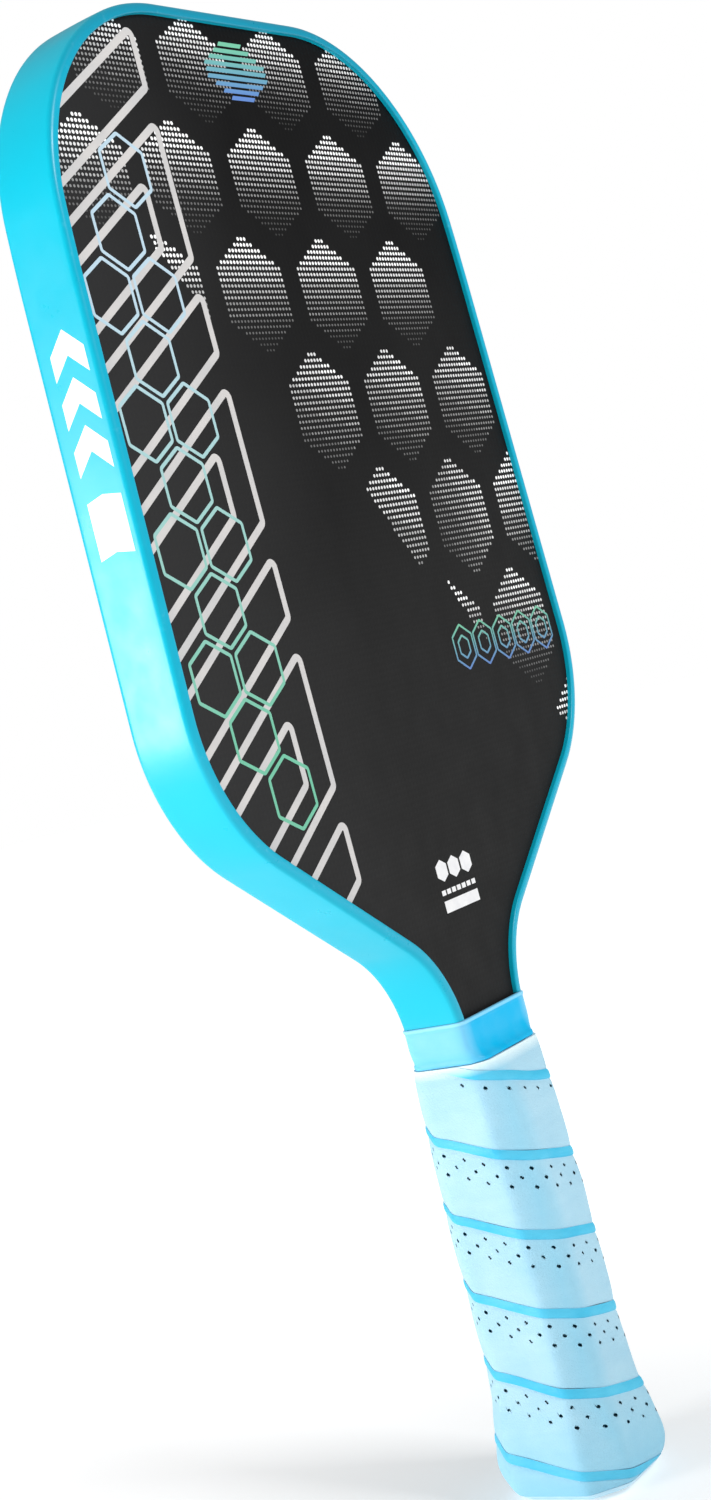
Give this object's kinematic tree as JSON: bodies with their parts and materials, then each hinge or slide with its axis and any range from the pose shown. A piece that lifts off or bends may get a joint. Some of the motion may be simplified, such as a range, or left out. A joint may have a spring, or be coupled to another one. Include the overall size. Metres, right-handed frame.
{
  "type": "pickleball paddle",
  "caption": "Elongated pickleball paddle with carbon faces over a honeycomb core, a soft edge guard, a rubber collar and a wrapped octagonal grip.",
  "frame": {"origin": "centre of the flat end of the butt, on the paddle's middle plane", "axes": "+Z from the handle to the head, +X to the right seen from the front, +Y out of the rear face, so the front face looks along -Y"},
  "size_m": [0.1904, 0.044, 0.419],
  "materials": {
    "core_plastic": "translucent white polypropylene honeycomb",
    "edge_foam": "expanded foam, cut edge",
    "bond_film": "thin bonded fleece",
    "carbon_face": "matte carbon fibre laminate with a fine peel-ply texture and printed graphics",
    "adhesive_tape": "double-sided tape",
    "guard_plastic": "soft bright cyan plastic, satin",
    "pallet_foam": "dense moulded foam",
    "cap_plastic": "moulded plastic",
    "staple_steel": "flat wire",
    "grip_leather": "padded synthetic leather, perforated, pale blue with a cyan seam",
    "collar_rubber": "smooth stretched rubber"
  },
  "bodies": {
    "root": {"honeycomb_core": "core_plastic", "perimeter_foam": "edge_foam", "front_bond_film": "bond_film", "rear_bond_film": "bond_film", "front_face_sheet": "carbon_face", "rear_face_sheet": "carbon_face", "guard_bond_tape": "adhesive_tape", "edge_guard": "guard_plastic", "front_handle_pallet": "pallet_foam", "rear_handle_pallet": "pallet_foam", "handle_tape": "adhesive_tape", "butt_cap": "cap_plastic", "butt_cap_badge": "cap_plastic", "front_cap_staple": "staple_steel", "rear_cap_staple": "staple_steel", "grip_wrap": "grip_leather", "finishing_tape": "adhesive_tape", "grip_collar": "collar_rubber"}
  },
  "joints": []
}
